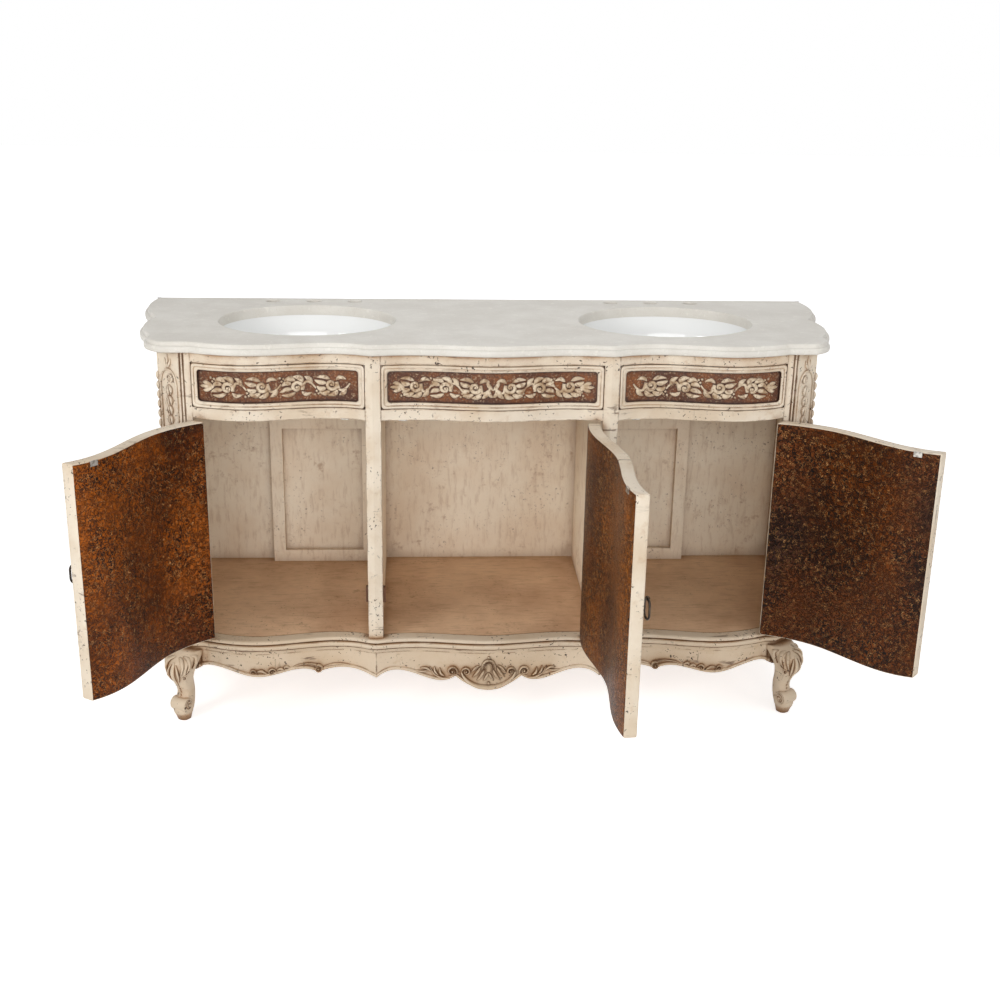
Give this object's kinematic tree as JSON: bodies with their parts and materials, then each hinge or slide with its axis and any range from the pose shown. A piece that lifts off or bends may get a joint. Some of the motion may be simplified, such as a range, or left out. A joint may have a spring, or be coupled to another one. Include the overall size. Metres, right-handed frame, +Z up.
{
  "type": "double bathroom vanity",
  "caption": "Serpentine-front double vanity on cabriole legs with a stone top, oval undermount basins, false drawer fronts and doors on hinges with ring pulls.",
  "frame": {"origin": "on the floor, at the middle of the width, in the plane of the wall behind the vanity", "axes": "+X to the right of a person facing the doors, +Y towards the wall, +Z up"},
  "size_m": [1.8495, 1.0253, 0.914],
  "materials": {
    "stone": "honed, fine grained, paler worn edge",
    "china": "white gloss glaze",
    "crackle_panel": "brown crackle paint with darkened edges",
    "crackle_door": "brown crackle paint inside, cream edges",
    "bronze": "dark oil-rubbed bronze",
    "steel": "plain zinc plate",
    "inside_board": "thin cream wash over board, stained",
    "stop_block": "bare brown wood",
    "painted_wood": "distressed cream paint, worn along the edges"
  },
  "bodies": {
    "case": {"countertop": "stone", "basin_clips": "steel", "bottom_panel": "inside_board", "back_panel": "inside_board", "basin_left": "china", "divider_left": "inside_board", "divider_stile_left": "painted_wood", "access_panel_left": "inside_board", "corner_post_left": "painted_wood", "leg_front_left": "painted_wood", "leg_back_left": "painted_wood", "side_panel_left": "painted_wood", "basin_right": "china", "divider_right": "inside_board", "divider_stile_right": "painted_wood", "access_panel_right": "inside_board", "corner_post_right": "painted_wood", "leg_front_right": "painted_wood", "leg_back_right": "painted_wood", "side_panel_right": "painted_wood", "top_rail_left": "painted_wood", "mid_rail_left": "painted_wood", "drawer_moulding_left": "painted_wood", "drawer_front_left": "crackle_panel", "base_rail_left": "painted_wood", "apron_left": "painted_wood", "top_rail_center": "painted_wood", "mid_rail_center": "painted_wood", "drawer_moulding_center": "painted_wood", "drawer_front_center": "crackle_panel", "base_rail_center": "painted_wood", "apron_center": "painted_wood", "top_rail_right": "painted_wood", "mid_rail_right": "painted_wood", "drawer_moulding_right": "painted_wood", "drawer_front_right": "crackle_panel", "base_rail_right": "painted_wood", "apron_right": "painted_wood", "hinge_leaves": "bronze", "hinge_pins": "bronze", "door_catches": "steel", "door_stops": "stop_block"},
    "door_left": {"door_left": "crackle_door", "door_left_moulding": "painted_wood", "door_left_pull_plate": "bronze", "door_left_hinge_leaves": "bronze", "door_left_strike": "steel"},
    "pull_left": {"door_left_pull_ring": "bronze"},
    "door_center": {"door_center": "crackle_door", "door_center_moulding": "painted_wood", "door_center_pull_plate": "bronze", "door_center_hinge_leaves": "bronze", "door_center_strike": "steel"},
    "pull_center": {"door_center_pull_ring": "bronze"},
    "door_right": {"door_right": "crackle_door", "door_right_moulding": "painted_wood", "door_right_pull_plate": "bronze", "door_right_hinge_leaves": "bronze", "door_right_strike": "steel"},
    "pull_right": {"door_right_pull_ring": "bronze"}
  },
  "joints": [
    {"name": "door_left_hinge", "type": "hinge", "parent": "case", "child": "door_left", "pos_m": [-0.6654, -0.50809, 0.475], "axis": [0, 0, -1], "range_deg": [-122, 28]},
    {"name": "door_center_hinge", "type": "hinge", "parent": "case", "child": "door_center", "pos_m": [0.2474, -0.53081, 0.475], "axis": [0, 0, 1], "range_deg": [-94, 16]},
    {"name": "door_right_hinge", "type": "hinge", "parent": "case", "child": "door_right", "pos_m": [0.6654, -0.50809, 0.475], "axis": [0, 0, 1], "range_deg": [-138, 12]},
    {"name": "pull_left_swing", "type": "hinge", "parent": "door_left", "child": "pull_left", "pos_m": [-0.8748, -0.8019, 0.514], "axis": [0.7876, 0.6162, 0], "range_deg": [0, 95]},
    {"name": "pull_center_swing", "type": "hinge", "parent": "door_center", "child": "pull_center", "pos_m": [0.28575, -1.00573, 0.514], "axis": [0.2256, -0.9742, 0], "range_deg": [0, 95]},
    {"name": "pull_right_swing", "type": "hinge", "parent": "door_right", "child": "pull_right", "pos_m": [0.94768, -0.7328, 0.514], "axis": [0.9269, -0.3753, 0], "range_deg": [0, 95]}
  ]
}
